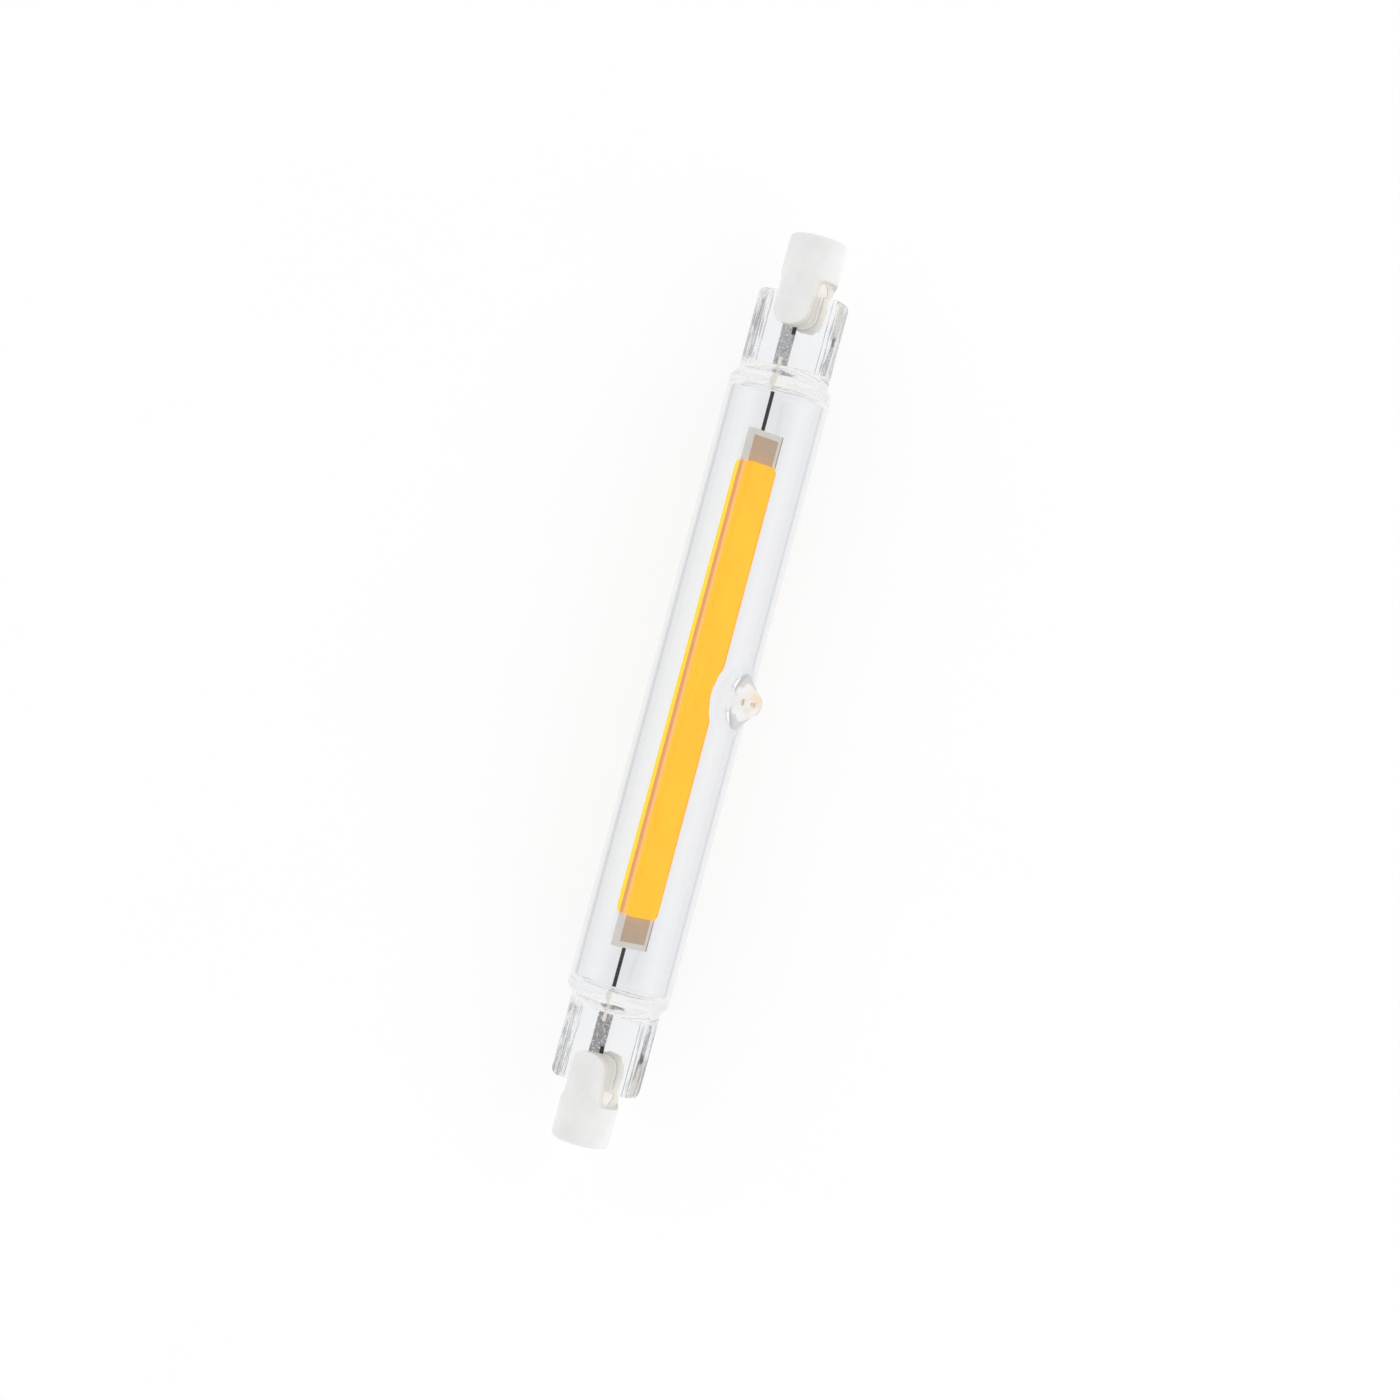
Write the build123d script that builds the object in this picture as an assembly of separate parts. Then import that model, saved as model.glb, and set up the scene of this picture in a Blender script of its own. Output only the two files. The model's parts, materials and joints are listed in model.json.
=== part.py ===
from build123d import *
import os
from math import cos, pi, sin

os.makedirs("parts", exist_ok=True)

# A linear LED lamp with a recessed contact at each end. It lies on its glass tube,
# along X, with +Z up. Everything is drawn about the tube's axis with its own front
# face up, and is then rolled about that axis to the way the lamp comes to rest.
# Lengths are in millimetres and rolls in degrees.

# Glass tube
tube_diameter = 13.2
tube_wall = 0.9
tube_length = 78.0
shoulder_length = 2.7
shoulder_fillet = 0.8
cavity_reach = 0.6
cavity_dome = 1.6

# Pressed seals: a thin web between two thicker rails
seal_length = 9.8
seal_side_inset = 0.7
seal_corner_radius = 1.0
seal_edge_radius = 0.35
seal_roll = -28.0
rail_thickness = 2.8
rail_width = 1.1
web_thickness = 1.8
channel_start = 0.3
channel_corner_radius = 0.6
channel_floor_radius = 0.2

# Exhaust stem, melted shut outside the tube
stem_diameter = 4.3
stem_height = 3.3
stem_neck_diameter = 3.7
stem_root_fillet = 1.8
stem_mouth_fillet = 1.2
stem_mouth_diameter = 2.4
stem_bore_tip_diameter = 0.6
stem_bore_depth = 1.8
stem_roll = 50.0

# Ceramic end caps
cap_diameter = 7.4
cap_solid_length = 5.5
cap_edge_radius = 0.85
slot_end_gap = 1.8
tongue_length = 6.2
tongue_width = 4.8
tongue_corner_radius = 2.1
flat_past_slot = 0.2
flat_side_gap = 0.15
flat_corner_radius = 1.3
cement_thickness = 0.4
cement_inset = 0.15

# Contacts at the bottom of the recess in each cap
recess_diameter = 3.6
recess_depth = 1.7
contact_head_diameter = 2.8
contact_head_thickness = 0.6
contact_edge_radius = 0.2
contact_stem_diameter = 1.6
contact_stem_length = 1.6
contact_clearance = 0.1

# Leads and seal foils
lead_diameter = 0.5
lead_flat = 0.04
lead_bend_radius = 2.0
lead_past_strip = 0.6
lead_before_seal = 0.8
foil_thickness = 0.03
foil_width = 2.1
foil_length = 7.6
foil_start = 0.3
foil_shift = 0.79
inner_weld_length = 1.2
outer_weld_length = 3.3

# LED strip: a transparent plate, printed and coated on both faces
strip_end_gap = 5.4
strip_width = 5.2
strip_thickness = 1.1
strip_roll = 42.0
strip_side_shift = 0.25
strip_drop = 0.5
print_shift = 0.2
print_thickness = 0.05
pad_end_margin = 0.75
pad_length = 9.0
pad_width = 4.1
circuit_width = 0.5
circuit_gap = 0.2
chip_length = 0.7
chip_width = 0.35
chip_thickness = 0.15
chip_pitch = 1.5
phosphor_end_margin = 4.1
phosphor_width = 4.8
phosphor_thickness = 1.0
phosphor_corner_radius = 0.8
phosphor_edge_radius = 0.38
lead_on_pad = 2.1
solder_length = 1.9
solder_width = 1.3
solder_cover = 0.15
solder_taper = 20.0
solder_end_margin = 0.3

# Places along the lamp, measured from its middle
tube_end = tube_length / 2
cavity_end = tube_end + cavity_reach
seal_start = tube_end + shoulder_length
glass_end = seal_start + seal_length
slot_bottom = glass_end + slot_end_gap
cap_end = slot_bottom + cap_solid_length
tongue_tip = slot_bottom - tongue_length
contact_face = cap_end - recess_depth
contact_seat = contact_face - contact_head_thickness
contact_stem_end = contact_seat - contact_stem_length
foil_inner_end = seal_start + foil_start
foil_outer_end = foil_inner_end + foil_length
inner_weld_end = foil_inner_end + inner_weld_length
outer_weld_start = foil_outer_end - outer_weld_length
strip_end = tube_end - strip_end_gap
pad_outer_end = strip_end - pad_end_margin
pad_inner_end = pad_outer_end - pad_length

# Sizes that follow from the ones above
tube_radius = tube_diameter / 2
seal_width = tube_diameter - 2 * seal_side_inset
bore_radius = tube_radius - tube_wall
cap_radius = cap_diameter / 2
slot_radius = web_thickness / 2 + cement_thickness
lead_radius = lead_diameter / 2
strip_face = strip_thickness / 2
print_face = strip_face + print_thickness
lead_over_foil = foil_thickness / 2 + lead_radius - lead_flat
lead_over_pad = print_face + lead_radius - lead_flat

# Where the seals and the strip stand about the tube's axis
seal_place = Rot(X=seal_roll)
strip_place = Pos(0, strip_side_shift, -strip_drop) * Rot(X=strip_roll)


def bar(start, end, width, low, high, across=0.0):
    """Rectangular bar along X, between two heights."""
    stock = Box(end - start, width, high - low, align=(Align.MIN, Align.CENTER, Align.MIN))
    return Pos(start, across, low) * stock


def rod(diameter, start, end, across=0.0, height=0.0):
    """Round rod along X."""
    stock = Cylinder(diameter / 2, end - start, align=(Align.CENTER, Align.CENTER, Align.MIN))
    return Pos(start, across, height) * Rot(Y=90) * stock


def domed_rod(radius, straight_end, dome):
    """Rod about the lamp's axis, with a smooth dome at both ends."""
    start = (straight_end, radius)
    crown = (straight_end + dome, 0)
    bulge = (straight_end + dome * sin(pi / 4), radius * cos(pi / 4))
    right_dome = Spline(start, bulge, crown, tangents=((1, 0), (0, -1)))
    left_dome = mirror(right_dome, about=Plane.YZ)
    wall = Line((-straight_end, radius), start)
    middle = Line((-straight_end - dome, 0), crown)
    return revolve(make_face([right_dome, wall, left_dome, middle]), Axis.X)


def both_ends(piece):
    """A right-hand piece and its mirror image at the left-hand end."""
    return [piece, mirror(piece, about=Plane.YZ)]


def both_faces(piece):
    """A piece on the front face and its mirror image on the back."""
    return [piece, mirror(piece, about=Plane.XY)]


def joined_with_fillet(body, added, radius):
    """Two solids fused, with a fillet along the line where they meet."""
    fused = body + added
    return fillet(new_edges(body, added, combined=fused), radius)


def make_seal_plate():
    """Flat plate through the tube, whose two ends are the pressed seals."""
    plan = RectangleRounded(2 * glass_end, seal_width, seal_corner_radius)
    plate = extrude(plan, rail_thickness / 2, both=True)
    rims = plate.edges().group_by(Axis.Z)
    return fillet(rims[0] + rims[-1], seal_edge_radius)


def make_channel():
    """What the jaw presses out of one face of the right-hand seal, between its rails."""
    start = seal_start + channel_start
    run = glass_end - start + 2 * channel_corner_radius
    plan = RectangleRounded(run, seal_width - 2 * rail_width, channel_corner_radius)
    channel = Pos(start + run / 2, 0, web_thickness / 2) * extrude(plan, rail_thickness)
    return fillet(channel.edges().group_by(Axis.Z)[0], channel_floor_radius)


def make_stem():
    """Closed-off exhaust stem, upright over the middle of the tube."""
    root = (stem_diameter / 2, tube_radius - tube_wall / 2)
    neck = (stem_neck_diameter / 2, tube_radius + stem_height / 2)
    tip = (0, tube_radius + stem_height)
    side = Spline(root, neck, tip, tangents=((0, 1), (-1, 0)))
    foot = Line((0, root[1]), root)
    middle = Line((0, root[1]), tip)
    return revolve(Plane.XZ * make_face([side, foot, middle]), Axis.Z)


def make_hollow():
    """The sealed space in the tube, with the funnel that runs up into the stem."""
    hollow = domed_rod(bore_radius, cavity_end - cavity_dome, cavity_dome)
    funnel = Cone(
        stem_mouth_diameter / 2,
        stem_bore_tip_diameter / 2,
        2 * stem_bore_depth,
        align=(Align.CENTER, Align.CENTER, Align.CENTER),
    )
    funnel = Rot(X=stem_roll) * Pos(0, 0, bore_radius) * funnel
    return joined_with_fillet(hollow, funnel, stem_mouth_fillet)


def make_envelope(embedded):
    """Tube, shoulders, seals and stem in one piece of glass, hollow and closed."""
    tube = domed_rod(tube_radius, tube_end, shoulder_length)
    glass = joined_with_fillet(tube, seal_place * make_seal_plate(), shoulder_fillet)
    glass = joined_with_fillet(glass, Rot(X=stem_roll) * make_stem(), stem_root_fillet)
    for channel in both_faces(make_channel()):
        for end_channel in both_ends(channel):
            glass -= seal_place * end_channel
    glass -= make_hollow()
    for piece in embedded:
        glass -= piece
    return glass


def make_cap():
    """Right-hand ceramic cap, with a tongue above and a tongue below the seal."""
    cap = rod(cap_diameter, tongue_tip, cap_end)
    rim = cap.edges().filter_by(GeomType.CIRCLE).sort_by(Axis.X)[-1]
    cap = fillet(rim, cap_edge_radius)

    slot_round = slot_bottom - slot_radius
    cap -= bar(tongue_tip, slot_round, cap_diameter, -slot_radius, slot_radius)
    cap -= Pos(slot_round, 0, 0) * Cylinder(slot_radius, cap_diameter, rotation=(90, 0, 0))

    side_depth = cap_radius - tongue_width / 2
    flat_half_width = (cap_radius**2 - (tongue_width / 2) ** 2) ** 0.5 + flat_side_gap
    flat_reach = slot_bottom + flat_past_slot - tongue_tip
    flat_plan = RectangleRounded(2 * flat_reach, 2 * flat_half_width, flat_corner_radius)
    flat = Rot(X=90) * extrude(flat_plan, side_depth, both=True)
    for side in (-1, 1):
        cap -= Pos(tongue_tip, side * cap_radius, 0) * flat
    tip_corners = cap.edges().filter_by(Axis.Z).group_by(Axis.X)[0]
    cap = fillet(tip_corners, tongue_corner_radius)

    cap -= rod(recess_diameter, contact_face, cap_end)
    cap -= rod(contact_head_diameter + 2 * contact_clearance, contact_seat, contact_face)
    cap -= rod(contact_stem_diameter + 2 * contact_clearance, tongue_tip, contact_seat)
    return cap


def make_contact():
    """Right-hand contact: a flat button on a short stem."""
    head = rod(contact_head_diameter, contact_seat, contact_face)
    head = fillet(head.edges().sort_by(Axis.X)[-1], contact_edge_radius)
    return head + rod(contact_stem_diameter, contact_stem_end, contact_seat)


def make_foil():
    """Right-hand seal foil, in the middle of the web's thickness."""
    half = foil_thickness / 2
    return bar(foil_inner_end, foil_outer_end, foil_width, -half, half, foil_shift)


def on_foil(lead):
    """A lead with the flat that its weld to the foil gives it."""
    weld_bed = bar(foil_inner_end, foil_outer_end, tube_diameter, -lead_diameter, foil_thickness / 2)
    return lead - seal_place * weld_bed


def make_outer_lead():
    """Right-hand outer lead, from the foil to the contact's stem."""
    return rod(lead_diameter, outer_weld_start, contact_stem_end, 0, lead_over_foil)


def make_inner_lead():
    """Right-hand inner lead, from the strip's back pad to the foil, with two easy bends."""
    lead_start = pad_outer_end - lead_on_pad
    stations = [
        strip_place * Pos(lead_start, 0, -lead_over_pad),
        strip_place * Pos(strip_end + lead_past_strip, 0, -lead_over_pad),
        seal_place * Pos(cavity_end - lead_before_seal, foil_shift, lead_over_foil),
        seal_place * Pos(inner_weld_end, foil_shift, lead_over_foil),
    ]
    route = FilletPolyline([station.position for station in stations], radius=lead_bend_radius)
    section = Plane(origin=route @ 0, z_dir=route % 0) * Circle(lead_radius)
    lead = sweep(section, path=route)
    solder_bed = bar(lead_start, pad_outer_end, strip_width, -print_face, 0)
    return on_foil(lead) - strip_place * solder_bed


def make_cement():
    """Cement that beds the right-hand web in the cap's slot."""
    start = tongue_tip + cement_inset
    width = tongue_width - 2 * cement_inset
    slot_round = slot_bottom - slot_radius
    bed = bar(start, slot_round, width, -slot_radius, slot_radius)
    bed += Pos(slot_round, 0, 0) * Cylinder(slot_radius, width, rotation=(90, 0, 0))
    tip_corners = bed.edges().filter_by(Axis.Z).group_by(Axis.X)[0]
    bed = fillet(tip_corners, tongue_corner_radius - cement_inset)
    return bed - bar(tongue_tip, glass_end, tongue_width, -web_thickness / 2, web_thickness / 2)


def make_solder(lead):
    """Solder round the right-hand inner lead, on the strip's back pad."""
    height = lead_diameter - lead_flat + solder_cover
    foot = Ellipse(solder_length / 2, solder_width / 2)
    middle = pad_outer_end - solder_end_margin - solder_length / 2
    drop = Pos(middle, 0, -print_face) * Rot(X=180) * extrude(foot, height, taper=solder_taper)
    return strip_place * drop - lead


def make_pad():
    """Front pad at the right-hand end of the strip."""
    return bar(pad_inner_end, pad_outer_end, pad_width, strip_face, print_face, print_shift)


def chip_places():
    """Where the chips stand along the strip, evenly about its middle."""
    count = int(2 * pad_inner_end / chip_pitch)
    return [(index - (count - 1) / 2) * chip_pitch for index in range(count)]


def make_chips():
    """Row of chips on the front face, each one bridging a gap in the circuit."""
    top = print_face + chip_thickness
    half = chip_length / 2
    return Compound(
        children=[
            bar(middle - half, middle + half, chip_width, print_face, top, print_shift)
            for middle in chip_places()
        ]
    )


def make_circuit():
    """Printed runs on the front face, from pad to chip to chip to pad."""
    half = circuit_gap / 2
    starts = [-pad_inner_end] + [middle + half for middle in chip_places()]
    ends = [middle - half for middle in chip_places()] + [pad_inner_end]
    return Compound(
        children=[
            bar(start, end, circuit_width, strip_face, print_face, print_shift)
            for start, end in zip(starts, ends)
        ]
    )


def make_phosphor(covered):
    """Silicone over the front face, moulded round what it covers."""
    length = 2 * (strip_end - phosphor_end_margin)
    plan = RectangleRounded(length, phosphor_width, phosphor_corner_radius)
    coat = Pos(0, print_shift, strip_face) * extrude(plan, phosphor_thickness)
    coat = fillet(coat.edges().group_by(Axis.Z)[-1], phosphor_edge_radius)
    for piece in covered:
        coat -= piece
    return coat


nodes = {}

# Pieces about the seals
foils = both_ends(seal_place * make_foil())
outer_leads = both_ends(on_foil(seal_place * make_outer_lead()))
inner_leads = both_ends(make_inner_lead())
paired_pieces = {
    "ceramic_cap": both_ends(seal_place * make_cap()),
    "contact": both_ends(seal_place * make_contact()),
    "cement": both_ends(seal_place * make_cement() - outer_leads[0]),
    "seal_foil": foils,
    "outer_lead": outer_leads,
    "inner_lead": inner_leads,
    "solder": both_ends(make_solder(inner_leads[0])),
}
for name, (right_piece, left_piece) in paired_pieces.items():
    nodes[name + "_right"] = right_piece
    nodes[name + "_left"] = left_piece
nodes["glass_envelope"] = make_envelope(foils + outer_leads + inner_leads)

# Pieces of the strip
nodes["strip_substrate"] = strip_place * bar(-strip_end, strip_end, strip_width, -strip_face, strip_face)
right_pad, left_pad = both_ends(make_pad())
front_pieces = {
    "pad_right": right_pad,
    "pad_left": left_pad,
    "circuit": make_circuit(),
    "led_chips": make_chips(),
}
front_pieces["phosphor"] = make_phosphor(list(front_pieces.values()))
for name, piece in front_pieces.items():
    front_piece, back_piece = both_faces(piece)
    nodes[name + "_front"] = strip_place * front_piece
    nodes[name + "_back"] = strip_place * back_piece

# The lamp rests on its tube, over the middle of its outline
outline = nodes["glass_envelope"].bounding_box()
rest_place = Pos(0, -(outline.min.Y + outline.max.Y) / 2, tube_radius)
for name, piece in nodes.items():
    export_step(rest_place * piece, "parts/" + name + ".step")

print("overall length", 2 * cap_end, "contact to contact", 2 * contact_face)
print("tube axis at y", rest_place.position.Y, "z", rest_place.position.Z)
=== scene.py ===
# %% [markdown]
# # A linear LED lamp in clear glass
# A glass tube is pinched flat at both ends, a yellow strip of LEDs stands inside it, and
# a white ceramic cap sits on each pinched end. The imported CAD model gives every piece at
# its true size. This lesson adds the camera, the light, the clean glass and the finishes.

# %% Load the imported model
import json
import math

import bmesh
import bpy
from mathutils import Matrix, Vector

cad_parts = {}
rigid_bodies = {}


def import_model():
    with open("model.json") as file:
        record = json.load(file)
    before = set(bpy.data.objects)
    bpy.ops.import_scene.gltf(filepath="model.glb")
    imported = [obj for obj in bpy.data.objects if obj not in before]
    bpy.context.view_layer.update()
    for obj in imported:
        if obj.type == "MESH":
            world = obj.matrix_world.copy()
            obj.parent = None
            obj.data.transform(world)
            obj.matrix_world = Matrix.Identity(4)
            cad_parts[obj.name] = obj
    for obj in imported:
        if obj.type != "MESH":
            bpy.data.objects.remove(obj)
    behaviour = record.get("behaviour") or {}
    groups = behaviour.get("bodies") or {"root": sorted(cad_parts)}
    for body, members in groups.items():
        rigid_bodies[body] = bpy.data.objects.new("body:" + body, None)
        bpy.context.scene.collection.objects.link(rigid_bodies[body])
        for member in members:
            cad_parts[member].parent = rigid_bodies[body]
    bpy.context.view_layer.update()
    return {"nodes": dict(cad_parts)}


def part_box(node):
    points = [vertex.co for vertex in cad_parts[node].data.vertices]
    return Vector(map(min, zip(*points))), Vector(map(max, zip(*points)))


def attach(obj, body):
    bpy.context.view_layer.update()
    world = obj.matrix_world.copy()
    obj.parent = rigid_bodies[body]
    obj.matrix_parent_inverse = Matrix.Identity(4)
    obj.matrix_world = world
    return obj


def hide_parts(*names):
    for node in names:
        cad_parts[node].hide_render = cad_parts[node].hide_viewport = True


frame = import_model()
nodes = frame["nodes"]
bpy.ops.object.select_all(action="DESELECT")

# %% [markdown]
# ## Places that the finishes share
# Lengths are in metres. The tube gives the axis that everything is set about: the caps
# are centred on it, so the middle of a cap's box is on the axis. The seals, the strip
# and the stem are each rolled about it by an angle of their own.

# %% Axis and ends, read from the frame
MM = 0.001
cap_low, cap_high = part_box("ceramic_cap_right")
axis_y = (cap_low.y + cap_high.y) / 2
axis_z = (cap_low.z + cap_high.z) / 2
lamp_middle = Vector((0.0, axis_y, axis_z))
_, glass_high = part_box("glass_envelope")
glass_end = glass_high.x
seal_roll = math.radians(-28)
strip_roll = math.radians(42)
stem_roll = math.radians(50)
print("axis at y", round(axis_y, 6), "z", round(axis_z, 6), "glass ends at", glass_end)

# %% Helpers for meshes


def select_only(obj):
    """Makes obj the one selected and active object."""
    bpy.ops.object.select_all(action="DESELECT")
    obj.select_set(True)
    bpy.context.view_layer.objects.active = obj


def copy_of_node(name, new_name):
    """An editable copy of a CAD node, with a mesh of its own."""
    copy = nodes[name].copy()
    copy.data = nodes[name].data.copy()
    copy.name = new_name
    copy.data.name = new_name
    copy.parent = None
    for key in list(copy.keys()):
        del copy[key]
    bpy.context.scene.collection.objects.link(copy)
    copy.matrix_world = Matrix.Identity(4)
    return copy


# %% [markdown]
# ## Clear glass without pockets
# In the CAD model each lead and foil sits in a pocket cut out of the glass, so the two
# solids never overlap. Real glass has melted onto the metal, with no air between. Light
# would be bent at the pocket's wall and hide the metal, so the copy used here loses the
# pockets' faces, and the small holes left at both ends of each seal are closed.

# %% Pick the pockets' faces
POCKET_HALF_HEIGHT = 0.5 * MM
POCKET_HALF_WIDTH = 1.12 * MM
CAVITY_END = 39.6 * MM
END_MARGIN = 0.05 * MM
MICROMETRE = 1e-6


def in_seal_frame(point):
    """The point's place along, across and through the pressed seal."""
    y, z = point.y - axis_y, point.z - axis_z
    across = y * math.cos(seal_roll) + z * math.sin(seal_roll)
    through = -y * math.sin(seal_roll) + z * math.cos(seal_roll)
    return point.x, across, through


glass = copy_of_node("glass_envelope", "clear_envelope")
foil_low, foil_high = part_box("seal_foil_right")
_, foil_across, _ = in_seal_frame((foil_low + foil_high) / 2)
select_only(glass)
bpy.ops.object.mode_set(mode="EDIT")
bpy.ops.mesh.select_mode(type="FACE")
bpy.ops.mesh.select_all(action="DESELECT")
bpy.ops.object.mode_set(mode="OBJECT")
for face in glass.data.polygons:
    along, across, through = in_seal_frame(face.center)
    inside_end = CAVITY_END - END_MARGIN < abs(along) < glass_end - MICROMETRE
    near_metal = abs(through) < POCKET_HALF_HEIGHT and abs(across - foil_across) < POCKET_HALF_WIDTH
    face.select = inside_end and near_metal
print("pocket faces picked:", sum(face.select for face in glass.data.polygons))

# %% [markdown]
# Deleting those faces leaves a small hole where each lead went in or out. Everything is
# merged first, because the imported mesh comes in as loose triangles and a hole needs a
# closed rim to be filled.

# %% Delete the picked faces and fill the holes
MERGE_DISTANCE = 1e-7
bpy.ops.object.mode_set(mode="EDIT")
bpy.ops.mesh.delete(type="FACE")
bpy.ops.mesh.select_all(action="SELECT")
bpy.ops.mesh.remove_doubles(threshold=MERGE_DISTANCE)
bpy.ops.mesh.fill_holes(sides=0)
bpy.ops.mesh.select_all(action="SELECT")
bpy.ops.mesh.normals_make_consistent(inside=False)
bpy.ops.mesh.select_all(action="DESELECT")
bpy.ops.object.mode_set(mode="OBJECT")
print("clear envelope:", len(glass.data.polygons), "faces")

# %% [markdown]
# The hollow is a closed skin of its own. Recalculated, its faces point out of the hollow
# and into the glass, and the lamp renders as a solid rod. They're turned round, to point
# into the hollow, which tells the renderer that the space there is air. The faces of the
# straight bore are picked by their place, and the rest of the skin is linked to them.

# %% Turn the inner wall round
WALL_MIDDLE = 6.1 * MM
STRAIGHT_HALF = 30 * MM
for face in glass.data.polygons:
    from_axis = math.hypot(face.center.y - axis_y, face.center.z - axis_z)
    face.select = abs(face.center.x) < STRAIGHT_HALF and from_axis < WALL_MIDDLE
bpy.ops.object.mode_set(mode="EDIT")
bpy.ops.mesh.select_linked()
bpy.ops.mesh.flip_normals()
bpy.ops.object.mode_set(mode="OBJECT")
print("inner wall:", sum(face.select for face in glass.data.polygons), "faces")

# %% [markdown]
# The flame softened the tube round the stem, and the wall was drawn up toward it. The
# swell is slight, but it works as a lens: the strip's edge looks dented there. Long faces
# can't bend, so the outer wall is first cut into a fine grid near the stem. Cuts by
# plane can be kept to that patch, and the rest of the tube keeps its few long faces. The
# stem's own fillet is fine enough as it is.

# %% Grid in the outer wall
TUBE_RADIUS, BORE_RADIUS, TUBE_END = 6.6 * MM, 5.7 * MM, 39.0 * MM
SWELL_REACH = 6.0 * MM
GRID_STEP = 0.35 * MM
FILLET_REACH = 3.1 * MM
STEM_SIDE = 0.35
SMALL_GAP = 0.01 * MM
steps = round(SWELL_REACH / GRID_STEP)
grid_half = steps * GRID_STEP
stem_way = Vector((0.0, -math.sin(stem_roll), math.cos(stem_roll)))
shape = bmesh.new()
shape.from_mesh(glass.data)


def from_stem(point):
    """How far a point is from the tube's axis, up along the stem, and aside from it."""
    spot = point - lamp_middle
    up = spot.dot(stem_way)
    return math.hypot(spot.y, spot.z), up, (spot - stem_way * up).length


def cut_outer_wall(place, normal, reach):
    """Cuts the outer wall's faces on the stem's side along a plane."""
    cut = []
    for face in shape.faces:
        if face.select or face.normal.dot(stem_way) < STEM_SIDE:
            continue
        out, _, aside = from_stem(face.calc_center_median())
        in_reach = all(abs(corner.co.x) < reach for corner in face.verts)
        if out > WALL_MIDDLE and aside > FILLET_REACH and in_reach:
            cut.append(face)
    edges = dict.fromkeys(edge for face in cut for edge in face.edges)
    corners = dict.fromkeys(corner for face in cut for corner in face.verts)
    touched = [*cut, *edges, *corners]
    bmesh.ops.bisect_plane(shape, geom=touched, plane_co=place, plane_no=normal, dist=MICROMETRE)


for step in range(-steps, steps + 1):
    cut_outer_wall(lamp_middle + Vector((step * GRID_STEP, 0, 0)), Vector((1, 0, 0)), glass_end)
for step in range(-steps, steps + 1):
    turn = stem_roll + step * GRID_STEP / TUBE_RADIUS
    cut_outer_wall(lamp_middle, Vector((0, math.cos(turn), math.sin(turn))), grid_half + SMALL_GAP)
bmesh.ops.triangulate(shape, faces=[face for face in shape.faces if len(face.verts) > 3])
shape.to_mesh(glass.data)
print("with the grid:", len(shape.faces), "faces")
shape.free()

# %% [markdown]
# The seams between flat and rounded stretches must stay smooth, or the glass shows them
# as lines. Edges sharper than 35 degrees stay sharp, and weighted normals let the large
# faces decide how light bends near their borders.

# %% Smooth the glass
SHARP_ANGLE = math.radians(35)
select_only(glass)
bpy.ops.mesh.customdata_custom_splitnormals_clear()
bpy.ops.object.shade_smooth_by_angle(angle=SHARP_ANGLE)
weighted = glass.modifiers.new("even_normals", "WEIGHTED_NORMAL")
weighted.keep_sharp = True
bpy.ops.object.modifier_apply(modifier=weighted.name)
print("modifiers left:", len(glass.modifiers))

# %% [markdown]
# Now the points near the stem are moved along it. The move fades out with the distance
# from the stem, and up its side, so its tip stays where it is. The way each face bends
# light is worked out from the same rule, so the swell has no facets. The round walls of
# the tube get their true radial directions in the same pass.

# %% How far the wall is drawn up
SWELL_HEIGHT = 1.0 * MM
SWELL_INNER, SWELL_OUTER = 1.8 * MM, 4.7 * MM
STEM_LOW, STEM_HIGH = 6.9 * MM, 8.9 * MM
NEVER_ZERO = 1e-9


def ease(value, low, high):
    """Rises smoothly from 0 to 1 between low and high, and how steeply it does."""
    part = min(max((value - low) / (high - low), 0.0), 1.0)
    return part * part * (3 - 2 * part), 6 * part * (1 - part) / (high - low)


def drawn_up(point):
    """How far a point moves along the stem, and how that changes from place to place."""
    out, up, aside = from_stem(point)
    near, near_slope = ease(aside, SWELL_INNER, SWELL_OUTER)
    low, low_slope = ease(out, STEM_LOW, STEM_HIGH)
    spot = point - lamp_middle
    away = (spot - stem_way * up) / max(aside, NEVER_ZERO)
    outward = Vector((0.0, spot.y, spot.z)) / max(out, NEVER_ZERO)
    change = -near_slope * (1 - low) * away - low_slope * (1 - near) * outward
    return SWELL_HEIGHT * (1 - near) * (1 - low), SWELL_HEIGHT * change


inner_points = {index for face in glass.data.polygons if face.select for index in face.vertices}
rises = {}
for corner in glass.data.vertices:
    _, up, aside = from_stem(corner.co)
    if corner.index not in inner_points and up > 0 and aside < grid_half:
        rises[corner.index] = drawn_up(corner.co)
print("points drawn up:", sum(rise > 0 for rise, _ in rises.values()))

# %% Move the points and set the normals
WALL_TOLERANCE = 0.004 * MM
normals = [corner.vector.copy() for corner in glass.data.corner_normals]
for loop in glass.data.loops:
    point = glass.data.vertices[loop.vertex_index].co
    normal = normals[loop.index]
    outward = Vector((0.0, point.y - axis_y, point.z - axis_z))
    off_wall = min(abs(outward.length - radius) for radius in (TUBE_RADIUS, BORE_RADIUS))
    if off_wall < WALL_TOLERANCE and abs(point.x) < TUBE_END + SMALL_GAP:
        normal = outward.normalized() * math.copysign(1.0, normal.dot(outward))
    if loop.vertex_index in rises:
        change = rises[loop.vertex_index][1]
        normal = normal - change * (normal.dot(stem_way) / (1 + change.dot(stem_way)))
    normals[loop.index] = normal.normalized()
for index, (rise, _) in rises.items():
    glass.data.vertices[index].co += stem_way * rise
glass.data.normals_split_custom_set(normals)
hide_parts("glass_envelope")
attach(glass, "root")
print("glass:", len(glass.data.vertices), "points")

# %% [markdown]
# ## Finishes
# Each finish is a material with a cell of its own, put together from the few helpers
# below: noise for what is uneven, a ramp to turn it into colours, a span to keep a mark
# to its place. Colours are written as they look in daylight and turned into the linear
# values that the shader works with.

# %% Helpers for materials


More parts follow.
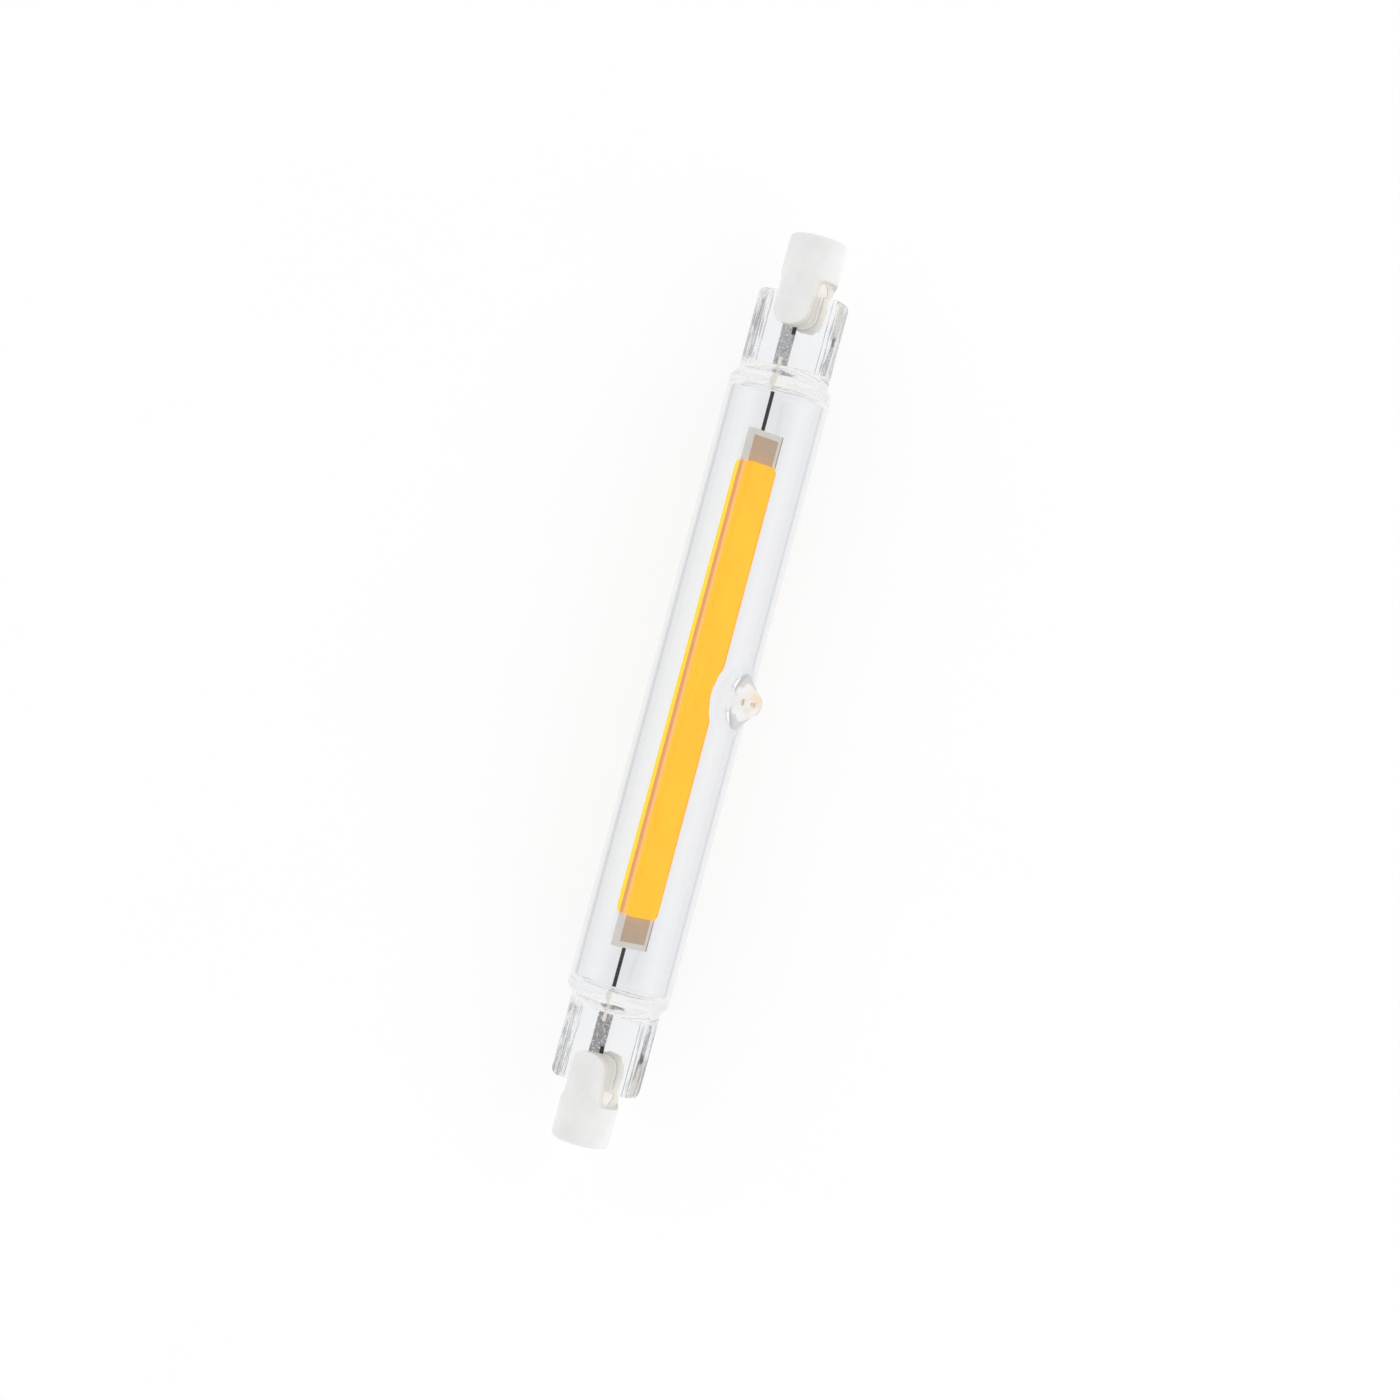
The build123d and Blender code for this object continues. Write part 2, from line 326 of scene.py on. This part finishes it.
def daylight(red, green, blue):
    """A colour given as it looks on a screen, 0 to 255, as linear values."""
    channels = []
    for value in (red, green, blue):
        value /= 255
        channels.append(value / 12.92 if value <= 0.04045 else ((value + 0.055) / 1.055) ** 2.4)
    return (*channels, 1.0)


class Finish:
    """A material with its Principled shader, and the few node set-ups that repeat."""

    def __init__(self, name):
        self.material = bpy.data.materials.new(name)
        self.material.use_nodes = True
        self.tree = self.material.node_tree
        self.shader = self.tree.nodes["Principled BSDF"]

    def set(self, **values):
        """Plain values for the shader, with spaces written as underscores."""
        for key, value in values.items():
            self.shader.inputs[key.replace("_", " ")].default_value = value

    def node(self, kind, **settings):
        """A new node with some of its settings changed."""
        made = self.tree.nodes.new(kind)
        for key, value in settings.items():
            setattr(made, key, value)
        return made

    def feed(self, value, target):
        """Gives an input a plain value, or links another node's output to it."""
        if isinstance(value, bpy.types.NodeSocket):
            self.tree.links.new(value, target)
        else:
            target.default_value = value

    def place(self, roll=0.0, scale=(1.0, 1.0, 1.0)):
        """Coordinates about the lamp's axis, rolled to a piece's own front face."""
        coordinates = self.node("ShaderNodeTexCoord")
        centred = self.node("ShaderNodeVectorMath", operation="SUBTRACT")
        centred.inputs[1].default_value = lamp_middle
        turned = self.node("ShaderNodeVectorRotate", rotation_type="X_AXIS")
        turned.inputs["Angle"].default_value = -roll
        sized = self.node("ShaderNodeVectorMath", operation="MULTIPLY")
        sized.inputs[1].default_value = scale
        self.feed(coordinates.outputs["Object"], centred.inputs[0])
        self.feed(centred.outputs[0], turned.inputs["Vector"])
        self.feed(turned.outputs[0], sized.inputs[0])
        return sized.outputs[0]

    def axis(self, place, name):
        """One of the three coordinates: X, Y or Z."""
        made = self.node("ShaderNodeSeparateXYZ")
        self.feed(place, made.inputs[0])
        return made.outputs[name]

    def off(self, place, name):
        """How far a place is from the middle along X, Y or Z, to either side."""
        return self.maths("ABSOLUTE", self.axis(place, name))

    def noise(self, place, size, detail=3.0, roughness=0.5):
        """Noise with patches about this size, in metres."""
        made = self.node("ShaderNodeTexNoise")
        made.inputs["Scale"].default_value = 1 / size
        made.inputs["Detail"].default_value = detail
        made.inputs["Roughness"].default_value = roughness
        self.feed(place, made.inputs["Vector"])
        return made.outputs["Fac"]

    def ramp(self, value, *stops):
        """Colours by value: each stop is a place from 0 to 1 and a colour."""
        made = self.node("ShaderNodeValToRGB")
        elements = made.color_ramp.elements
        for element, (where, colour) in zip(elements, stops):
            element.position = where
            element.color = colour
        self.feed(value, made.inputs["Fac"])
        return made.outputs["Color"]

    def span(self, value, low, high, to_low=0.0, to_high=1.0, smooth=False):
        """A value's stretch from low to high, mapped onto another and clamped."""
        made = self.node("ShaderNodeMapRange", interpolation_type="SMOOTHSTEP" if smooth else "LINEAR")
        ends = {"From Min": low, "From Max": high, "To Min": to_low, "To Max": to_high}
        for name, end in ends.items():
            made.inputs[name].default_value = end
        self.feed(value, made.inputs["Value"])
        return made.outputs["Result"]

    def maths(self, operation, *values):
        """One sum on plain values and sockets."""
        made = self.node("ShaderNodeMath", operation=operation)
        for value, target in zip(values, made.inputs):
            self.feed(value, target)
        return made.outputs[0]

    def times(self, first, *others):
        """The product of all the values."""
        for other in others:
            first = self.maths("MULTIPLY", first, other)
        return first

    def mix(self, factor, first, second):
        """Two colours mixed by a factor; each is a colour or a socket."""
        made = self.node("ShaderNodeMix", data_type="RGBA")
        for name, value in (("Factor", factor), ("A", first), ("B", second)):
            self.feed(value, made.inputs[name])
        return made.outputs["Result"]

    def bump(self, height, distance):
        """Relief as deep as the distance, where the height is 1."""
        made = self.node("ShaderNodeBump")
        made.inputs["Distance"].default_value = distance
        made.inputs["Strength"].default_value = 1.0
        self.feed(height, made.inputs["Height"])
        self.feed(made.outputs["Normal"], self.shader.inputs["Normal"])

    def colour(self, value):
        """The colour of the surface."""
        self.feed(value, self.shader.inputs["Base Color"])

    def painted_glow(self, colour, strength):
        """Painted light: a weak glow of its own, standing in for light that reaches the piece."""
        self.feed(colour, self.shader.inputs["Emission Color"])
        self.feed(strength, self.shader.inputs["Emission Strength"])

    def put_on(self, slot, *pieces):
        """Gives the material to the pieces. The slot is not used."""
        for piece in pieces:
            piece.data.materials.clear()
            piece.data.materials.append(self.material)
        print(self.material.name, "on", len(pieces))


def both(*names):
    """The nodes of these names at the left and right ends."""
    return [nodes[f"{name}_{side}"] for name in names for side in ("left", "right")]


# %% [markdown]
# ### Glass
# Drawn tube is even, so it stays perfectly clear. The flame and the jaws leave gentle
# waves near the seals, and these show as swirls. A mask along X keeps the waves there.

# %% Waves near the seals
WAVES_FROM, WAVES_TO = 38.5 * MM, 40.5 * MM
WAVE_WIDTH, WAVE_STRETCH, WAVE_DEPTH = 1.6 * MM, 0.45, 0.14 * MM
clear = Finish("clear_glass")
clear.set(Roughness=0.0, IOR=1.47, Transmission_Weight=1.0)
in_glass = clear.place(seal_roll)
from_middle = clear.off(in_glass, "X")
beyond_tube = clear.span(from_middle, WAVES_FROM, WAVES_TO, smooth=True)
waves = clear.noise(clear.place(seal_roll, (WAVE_STRETCH, 1.0, 1.0)), WAVE_WIDTH, detail=1.5)
relief = clear.times(waves, beyond_tube, WAVE_DEPTH)
print("waves from", WAVES_FROM, "m on")

# %% [markdown]
# The jaws drag the rails lengthwise and leave them streaked. Noise that is stretched
# along X and kept to the rails draws those streaks. The relief is in metres by then, so
# the bump's own distance is 1.

# %% Streaks in the rails
SEAL_FROM, SEAL_TO = 41.5 * MM, 42.5 * MM
RAIL_FROM, RAIL_TO = 4.3 * MM, 4.9 * MM
STREAK_WIDTH, STREAK_STRETCH, STREAK_DEPTH = 0.45 * MM, 0.07, 0.12 * MM
in_seal = clear.span(from_middle, SEAL_FROM, SEAL_TO)
across_seal = clear.off(in_glass, "Y")
in_rails = clear.times(clear.span(across_seal, RAIL_FROM, RAIL_TO), in_seal)
streaks = clear.noise(clear.place(seal_roll, (STREAK_STRETCH, 1.0, 1.0)), STREAK_WIDTH, detail=2.5)
relief = clear.maths("ADD", relief, clear.times(streaks, in_rails, STREAK_DEPTH))
clear.bump(relief, 1.0)
print("streaks in the rails", STREAK_DEPTH, "m deep")

# %% [markdown]
# Glass looks a shade greyer where the eye looks along the wall, because the light has a
# longer way through it. Amber glints are painted on the stem's tip, a painted reflection
# of the yellow strip's light in the clear knob.

# %% Tint of the wall and the tip
ACROSS_WALL, ALONG_WALL = 0.42, 0.55
WALL_TINT, LONG_TINT = (0.973, 0.982, 0.996, 1.0), (0.885, 0.9, 0.925, 1.0)
TIP_FROM, TIP_TO = 8.2 * MM, 9.4 * MM
GLINT_AMBER = (1.0, 0.72, 0.42, 1.0)
facing = clear.node("ShaderNodeLayerWeight")
glancing = clear.span(facing.outputs["Facing"], ACROSS_WALL, ALONG_WALL)
tint = clear.mix(glancing, WALL_TINT, LONG_TINT)
by_stem = clear.place(stem_roll)
in_tip = clear.span(clear.axis(by_stem, "Z"), TIP_FROM, TIP_TO)
# Painted glints: amber patches on the tip stand for the strip's light caught in the knob.
amber_glints = clear.span(clear.noise(by_stem, 1.1 * MM, detail=2), 0.38, 0.54)
tint = clear.mix(clear.times(amber_glints, in_tip), tint, GLINT_AMBER)
print("amber from", TIP_FROM, "m up the stem")

# %% [markdown]
# Fine dark lines are painted along the rails, broken into pieces by noise, and darker
# streaks are painted between them.

# %% Dark lines in the rails
RAIL_LINES = (4.85 * MM, 5.45 * MM)
LINE_EDGE, LINE_CORE = 0.11 * MM, 0.05 * MM
STREAK_DARK, LINE_DARK = 0.85, 0.9
RAIL_DARK_GREY = (0.3, 0.3, 0.32, 1.0)
# Dark lines and streaks are painted into the rails' tint here.
rail_darkening = clear.span(streaks, 0.58, 0.63, 0.0, STREAK_DARK)
line_breaks = clear.span(clear.noise(clear.place(seal_roll, (0.3, 1.0, 1.0)), 0.9 * MM, detail=3), 0.42, 0.52)
for rail_line in RAIL_LINES:
    beside = clear.maths("ABSOLUTE", clear.maths("SUBTRACT", across_seal, rail_line))
    line = clear.times(clear.span(beside, LINE_EDGE, LINE_CORE), line_breaks)
    rail_darkening = clear.maths("MAXIMUM", rail_darkening, clear.times(line, LINE_DARK))
clear.colour(clear.mix(clear.times(rail_darkening, in_rails), tint, RAIL_DARK_GREY))
print("dark lines in each rail:", len(RAIL_LINES))

# %% [markdown]
# Some light runs on inside the wall, as in a glass fibre, and a renderer gives it up as
# black after its last bounce. More bounces would only cost time. In a white room such
# light comes out white somewhere, so after several turns the glass hands over the
# room's light instead.

# %% Light that stays in the glass
TURNS = 8.5
paths = clear.node("ShaderNodeLightPath")
room_light = clear.node("ShaderNodeEmission")
room_light.inputs["Color"].default_value = daylight(244, 243, 240)
long_way = clear.node("ShaderNodeMixShader")
clear.feed(clear.maths("GREATER_THAN", paths.outputs["Ray Depth"], TURNS), long_way.inputs["Fac"])
clear.feed(clear.shader.outputs[0], long_way.inputs[1])
clear.feed(room_light.outputs[0], long_way.inputs[2])
clear.feed(long_way.outputs[0], clear.tree.nodes["Material Output"].inputs["Surface"])
clear.put_on("clear_glass", glass)

# %% [markdown]
# ### Ceramic
# Steatite is matt, nearly white and a little translucent, with a fine grain from firing.
# The grain is too fine to model, so it is relief in the material. Beside the slot the
# tongues are painted a touch creamier as painted shade, and a faint painted glow over all
# the ceramic lightens its shaded pockets.

# %% White ceramic
CREAM_EDGE, CREAM_CORE = 3.0 * MM, 2.5 * MM
TONGUE_ROOT, TONGUE_SIDE = 53.6 * MM, 53.0 * MM
ceramic = Finish("matt_ceramic")
ceramic.set(Roughness=0.55, IOR=1.5, Subsurface_Weight=0.15, Subsurface_Scale=0.3 * MM)
spot = ceramic.place()
cloud = ceramic.noise(spot, 3 * MM, detail=4)
white = ceramic.ramp(cloud, (0.3, daylight(221, 221, 220)), (0.7, daylight(229, 229, 228)))
rolled = ceramic.place(seal_roll)
# Painted shade: the cream beside the slot stands for the shaded rear tongue behind glass.
beside_slot = ceramic.span(ceramic.off(rolled, "Z"), CREAM_EDGE, CREAM_CORE)
on_tongue = ceramic.span(ceramic.off(rolled, "X"), TONGUE_ROOT, TONGUE_SIDE)
painted_slot_shade = ceramic.times(beside_slot, on_tongue)
ceramic.colour(ceramic.mix(painted_slot_shade, white, daylight(224, 219, 209)))
# Painted light: a faint glow over all the ceramic lightens its shaded pockets.
ceramic.painted_glow(daylight(240, 240, 238), 0.13)
ceramic.bump(ceramic.noise(spot, 0.15 * MM, detail=2), 0.01 * MM)
ceramic.put_on("cap_ceramic", *both("ceramic_cap"))

# %% [markdown]
# The cement that holds the glass in the slot is coarser than the ceramic. It lies deep
# between two light walls, and a glow stands in for the light that they scatter onto it.

# %% Cement
cement = Finish("fired_cement")
cement.set(Roughness=0.85)
grain = cement.noise(cement.place(), 0.3 * MM, detail=5, roughness=0.7)
cement.colour(cement.ramp(grain, (0.3, daylight(206, 203, 197)), (0.75, daylight(221, 218, 212))))
cement.painted_glow(daylight(233, 231, 226), 0.42)
cement.bump(grain, 0.05 * MM)
cement.put_on("cement", *both("cement"))

# %% [markdown]
# ### LED strip
# Yellow silicone with phosphor covers both faces of a clear plate. The silicone is
# satin and slightly uneven, orange along its right edge and lighter on the back.

# %% Phosphor silicone
BACK_FROM, BACK_TO = 0.0, -0.5 * MM
RIGHT_FROM, RIGHT_TO = -1.75 * MM, -2.15 * MM
phosphor = Finish("yellow_phosphor")
phosphor.set(Roughness=0.5, IOR=1.35, Subsurface_Weight=0.25, Subsurface_Scale=0.4 * MM)
phosphor.set(Subsurface_Radius=(1.0, 0.6, 0.1))
spot = phosphor.place(strip_roll)
mottle = phosphor.noise(phosphor.place(strip_roll, (0.35, 1.0, 1.0)), 2.2 * MM, detail=4)
yellow = phosphor.ramp(mottle, (0.3, daylight(255, 191, 14)), (0.7, daylight(255, 199, 24)))
on_back = phosphor.span(phosphor.axis(spot, "Z"), BACK_FROM, BACK_TO)
at_right = phosphor.span(phosphor.axis(spot, "Y"), RIGHT_FROM, RIGHT_TO, smooth=True)
front = phosphor.mix(at_right, yellow, daylight(255, 166, 6))
coat = phosphor.mix(on_back, front, daylight(255, 218, 26))
phosphor.colour(coat)
# Painted light: the coats glow in their own colour, brighter than their lighting makes them.
phosphor.painted_glow(coat, 0.56)
phosphor.bump(phosphor.noise(spot, 0.5 * MM, detail=3), 0.02 * MM)
phosphor.put_on("phosphor_silicone", nodes["phosphor_front"], nodes["phosphor_back"])

# %% [markdown]
# Between the coats the plate looks tan, because it is lit through the silicone, and
# deepest next to it. Beyond them it is bare: pale on its faces and tan at its side. All
# three looks are on one solid, so masks by place part them.

# %% Plate between the two coats
COAT_END, BARE_FROM = 29.2 * MM, 29.8 * MM
CORE_HALF, FACE_AT = 0.3 * MM, 0.55 * MM
SIDE_FROM, SIDE_AT = 2.56 * MM, 2.58 * MM
plate = Finish("strip_plate")
plate.set(Roughness=0.3, IOR=1.52)
spot = plate.place(strip_roll)
bare = plate.span(plate.off(spot, "X"), COAT_END, BARE_FROM)
near_face = plate.span(plate.off(spot, "Z"), CORE_HALF, FACE_AT)
tan = plate.mix(near_face, daylight(255, 190, 118), daylight(232, 154, 76))
at_side = plate.span(plate.off(spot, "Y"), SIDE_FROM, SIDE_AT)
edge = plate.mix(at_side, daylight(250, 244, 234), daylight(184, 158, 124))
body = plate.mix(bare, tan, edge)
plate.colour(body)
# Painted light: the plate glows, strongly in its tan core and faintly where it is bare.
plate.painted_glow(body, plate.span(bare, 0.0, 1.0, 0.5, 0.14))
plate.bump(plate.noise(spot, 0.4 * MM), 0.01 * MM)
plate.put_on("strip_glass", nodes["strip_substrate"])

# %% [markdown]
# The pads are printed silver paste. Fired paste is matt, with a grain that shows, so it
# is a rough surface and not a mirror of metal.

# %% Printed silver
silver = Finish("printed_silver")
silver.set(Roughness=0.6, Metallic=0.0)
grain = silver.noise(silver.place(strip_roll), 0.25 * MM, detail=4)
silver.colour(silver.ramp(grain, (0.25, daylight(236, 205, 172)), (0.75, daylight(248, 219, 190))))
silver.bump(grain, 0.01 * MM)
pads = [nodes[f"pad_{side}_{face}"] for side in ("left", "right") for face in ("front", "back")]
silver.put_on("pad_silver", *pads)

# %% [markdown]
# The printed runs and the chips lie under the silicone, which hides them. Their finishes
# are plain, for a view of the strip without its coats.

# %% Printed runs under the coat
run = Finish("printed_run")
run.set(Roughness=0.5, Metallic=0.4)
grain = run.noise(run.place(strip_roll), 0.2 * MM)
run.colour(run.ramp(grain, (0.3, daylight(186, 164, 144)), (0.7, daylight(198, 177, 157))))
run.put_on("circuit_metal", nodes["circuit_front"], nodes["circuit_back"])

# %% LED chips
chip = Finish("led_chip")
chip.set(Roughness=0.15, Metallic=0.2, IOR=1.77)
grain = chip.noise(chip.place(strip_roll), 0.1 * MM)
chip.colour(chip.ramp(grain, (0.3, daylight(150, 172, 196)), (0.7, daylight(172, 190, 208))))
chip.put_on("chip", nodes["led_chips_front"], nodes["led_chips_back"])

# %% [markdown]
# ### Metal in the seals
# A hair-thin molybdenum foil carries the current through the pinch, because glass seals
# to it without cracking. It is slightly crumpled, with small painted glints that stand in
# for its highlights, and the left one is duller.

# %% Molybdenum foil
foil = Finish("molybdenum_foil")
foil.set(Metallic=1.0, Roughness=0.38)
spot = foil.place(seal_roll)
crumple = foil.noise(spot, 0.5 * MM, detail=4, roughness=0.65)
bright = foil.ramp(crumple, (0.3, daylight(172, 172, 173)), (0.7, daylight(226, 226, 227)))
dull = foil.ramp(crumple, (0.3, daylight(146, 146, 147)), (0.7, daylight(204, 204, 205)))
at_left = foil.span(foil.axis(spot, "X"), 1 * MM, -1 * MM)
# Painted glints: small near-white spots on the foil stand in for its highlights.
foil_glints = foil.span(foil.noise(spot, 0.28 * MM, detail=1), 0.59, 0.63)
foil.colour(foil.mix(foil_glints, foil.mix(at_left, bright, dull), daylight(250, 250, 250)))
foil.bump(crumple, 0.12 * MM)
foil.put_on("foil_metal", *both("seal_foil"))

# %% [markdown]
# The leads are dark drawn wire. In the shoulder the bent glass lays so much of the white
# room over the wire that it hardly shows, so the wire is drawn light there.

# %% Lead wire
SHOULDER_FROM, SHOULDER_IN = 38.9 * MM, 39.1 * MM
SEAL_FULL, SEAL_BEGINS = 44.0 * MM, 43.5 * MM
wire = Finish("dark_wire")
wire.set(Metallic=0.3, Roughness=0.5)
streak = wire.noise(wire.place(0.0, (0.1, 1.0, 1.0)), 0.08 * MM)
drawn = wire.ramp(streak, (0.3, daylight(18, 17, 17)), (0.7, daylight(38, 36, 35)))
from_middle = wire.off(wire.place(), "X")
past_tube = wire.span(from_middle, SHOULDER_FROM, SHOULDER_IN)
before_seal = wire.span(from_middle, SEAL_FULL, SEAL_BEGINS)
in_shoulder = wire.times(past_tube, before_seal)
shown = wire.mix(in_shoulder, drawn, daylight(238, 233, 226))
wire.colour(shown)
wire.painted_glow(shown, wire.times(in_shoulder, 0.45))
wire.put_on("lead_wire", *both("inner_lead", "outer_lead"))

# %% [markdown]
# Solder sets with a bright, slightly wavy skin. The contact buttons are nickel-plated,
# scuffed by the lamp holder's springs, so their shine is uneven.

# %% Solder
solder = Finish("bright_solder")
solder.set(Metallic=1.0, Roughness=0.25)
grain = solder.noise(solder.place(), 0.3 * MM)
solder.colour(solder.ramp(grain, (0.3, daylight(190, 190, 192)), (0.7, daylight(220, 220, 222))))
solder.bump(grain, 0.03 * MM)
solder.put_on("solder", *both("solder"))

# %% Contacts
contact = Finish("contact_nickel")
contact.set(Metallic=1.0, Roughness=0.28)
scuff = contact.noise(contact.place(), 0.25 * MM, detail=5)
contact.colour(contact.ramp(scuff, (0.3, daylight(186, 182, 174)), (0.7, daylight(214, 210, 202))))
contact.feed(contact.span(scuff, 0.3, 0.7, 0.2, 0.42), contact.shader.inputs["Roughness"])
contact.put_on("contact_metal", *both("contact"))

# %% [markdown]
# ## Floor, light and camera
# The lamp lies on a white table. The table shows white to the camera and in glass and
# metal, and keeps part of its real light, so the lamp's faint shadow stays. Through the
# glass its glow is painted shade: brightest under the lamp and greyer further out, which
# draws the tube's walls with soft grey edges.

# %% White floor
TABLE_SIZE = 6.0
PATCH_HALF, PATCH_EDGE, PATCH_SHIFT = 10.5 * MM, 4.5 * MM, 0.8 * MM
PATCH_LIGHT, BESIDE_LIGHT = 0.97, 0.66
FAR_FROM, FAR_TO, FAR_SHARE = 20 * MM, 36 * MM, 0.7
SEEN_LIGHT, SEEN_SHARE = 1.04, 0.8
bpy.ops.mesh.primitive_plane_add(size=TABLE_SIZE, location=(0, 0, 0))
floor = bpy.context.object
floor.name = "floor"
table = Finish("white_table")
table.set(Roughness=0.9)
on_table = table.node("ShaderNodeTexCoord").outputs["Object"]
cloud = table.noise(on_table, 40 * MM)
table.colour(table.ramp(cloud, (0.3, daylight(243, 243, 243)), (0.7, daylight(247, 247, 247))))
paths = table.node("ShaderNodeLightPath")
by_glass = paths.outputs["Is Transmission Ray"]
seen = table.maths("MAXIMUM", paths.outputs["Is Camera Ray"], paths.outputs["Is Glossy Ray"])
seen = table.maths("MAXIMUM", seen, by_glass)
# Painted shade: rays through the glass see the floor's glow dim away from the lamp.
from_patch = table.maths("SUBTRACT", table.axis(on_table, "Y"), axis_y - PATCH_SHIFT)
beside_lamp = table.maths("ABSOLUTE", from_patch)
patch_end = PATCH_HALF + PATCH_EDGE
patch = table.span(beside_lamp, PATCH_HALF, patch_end, PATCH_LIGHT, BESIDE_LIGHT, smooth=True)
far_out = table.span(beside_lamp, FAR_FROM, FAR_TO, 1.0, FAR_SHARE, smooth=True)
painted_shade_in_glass = table.times(by_glass, patch, far_out)
straight = table.times(table.maths("SUBTRACT", 1.0, by_glass), SEEN_LIGHT)
floor_light = table.node("ShaderNodeEmission")
table.feed(table.maths("ADD", straight, painted_shade_in_glass), floor_light.inputs["Strength"])
blend = table.node("ShaderNodeMixShader")
table.feed(table.times(seen, SEEN_SHARE), blend.inputs["Fac"])
table.feed(table.shader.outputs[0], blend.inputs[1])
table.feed(floor_light.outputs[0], blend.inputs[2])
table.feed(blend.outputs[0], table.tree.nodes["Material Output"].inputs["Surface"])
floor.data.materials.append(table.material)
print("floor:", TABLE_SIZE, "m wide")

# %% [markdown]
# The room is white all round and darker overhead, faded smoothly by height. Clear glass
# shows the room in all its edges, and a plain fade gives it even ones, where a picture
# of a real room would leave spots.

# %% White room
FADE_FROM, FADE_TO = 0.35, 0.95
SIDE_LIGHT, TOP_LIGHT = 1.05, 0.55
world = bpy.data.worlds.new("studio")
world.use_nodes = True
bpy.context.scene.world = world
sky = world.node_tree
backdrop = sky.nodes["Background"]
backdrop.inputs["Color"].default_value = (1, 1, 1, 1)
towards = sky.nodes.new("ShaderNodeTexCoord")
split = sky.nodes.new("ShaderNodeSeparateXYZ")
fade = sky.nodes.new("ShaderNodeMapRange")
fade.interpolation_type = "SMOOTHSTEP"
fade.inputs["From Min"].default_value = FADE_FROM
fade.inputs["From Max"].default_value = FADE_TO
fade.inputs["To Min"].default_value = SIDE_LIGHT
fade.inputs["To Max"].default_value = TOP_LIGHT
sky.links.new(towards.outputs["Generated"], split.inputs[0])
sky.links.new(split.outputs["Z"], fade.inputs["Value"])
sky.links.new(fade.outputs["Result"], backdrop.inputs["Strength"])
print("room light from", SIDE_LIGHT, "to", TOP_LIGHT)

# %% [markdown]
# Two wide soft lights stand at the lamp's sides. The right one is stronger, which gives
# the ceramic a light side and a shaded one.

# %% Soft lights


def soft_light(name, place, width, height, power):
    """A rectangular area light that faces the lamp and doesn't show in the glass."""
    bpy.ops.object.light_add(type="AREA", location=place)
    light = bpy.context.object
    light.name = name
    light.data.shape = "RECTANGLE"
    light.data.size = width
    light.data.size_y = height
    light.data.energy = power
    light.rotation_mode = "QUATERNION"
    light.rotation_quaternion = (lamp_middle - Vector(place)).to_track_quat("-Z", "Y")
    light.visible_glossy = False
    light.visible_transmission = False
    print(name, power, "W")


soft_light("left_softbox", (0.0, 0.7, 0.45), 1.2, 0.6, 0.9)
soft_light("right_softbox", (0.0, -0.7, 0.45), 1.2, 0.6, 2.0)

# %% [markdown]
# The camera hangs straight above. In the picture the lamp points up and leans 15
# degrees to the right, and its middle lies just above the picture's middle.

# %% Camera
CAMERA_HEIGHT = 0.38
PICTURE_WIDTH = 176.1 * MM
SENSOR_WIDTH = 36
LEAN = math.radians(14.97)
AIM_RIGHT, AIM_DOWN = 0.06 * MM, 1.16 * MM
camera_data = bpy.data.cameras.new("camera")
camera = bpy.data.objects.new("camera", camera_data)
bpy.context.scene.collection.objects.link(camera)
camera_data.sensor_width = SENSOR_WIDTH
camera_data.lens = SENSOR_WIDTH * CAMERA_HEIGHT / PICTURE_WIDTH
camera_data.clip_start = 0.01
right = Vector((math.sin(LEAN), -math.cos(LEAN), 0))
up = Vector((math.cos(LEAN), math.sin(LEAN), 0))
camera.location = lamp_middle + Vector((0, 0, CAMERA_HEIGHT)) + AIM_RIGHT * right - AIM_DOWN * up
camera.rotation_euler = (0, 0, math.atan2(right.y, right.x))
bpy.context.scene.camera = camera
print("lens:", round(camera_data.lens, 2), "mm")

# %% [markdown]
# The standard view transform keeps white paper white. Light turns many times in the
# walls and the strip of a lamp like this, so it gets a dozen bounces.

# %% Picture settings
scene = bpy.context.scene
scene.view_settings.view_transform = "Standard"
scene.cycles.max_bounces = 12
scene.cycles.glossy_bounces = 10
scene.cycles.transmission_bounces = 12
print("bounces:", scene.cycles.max_bounces)
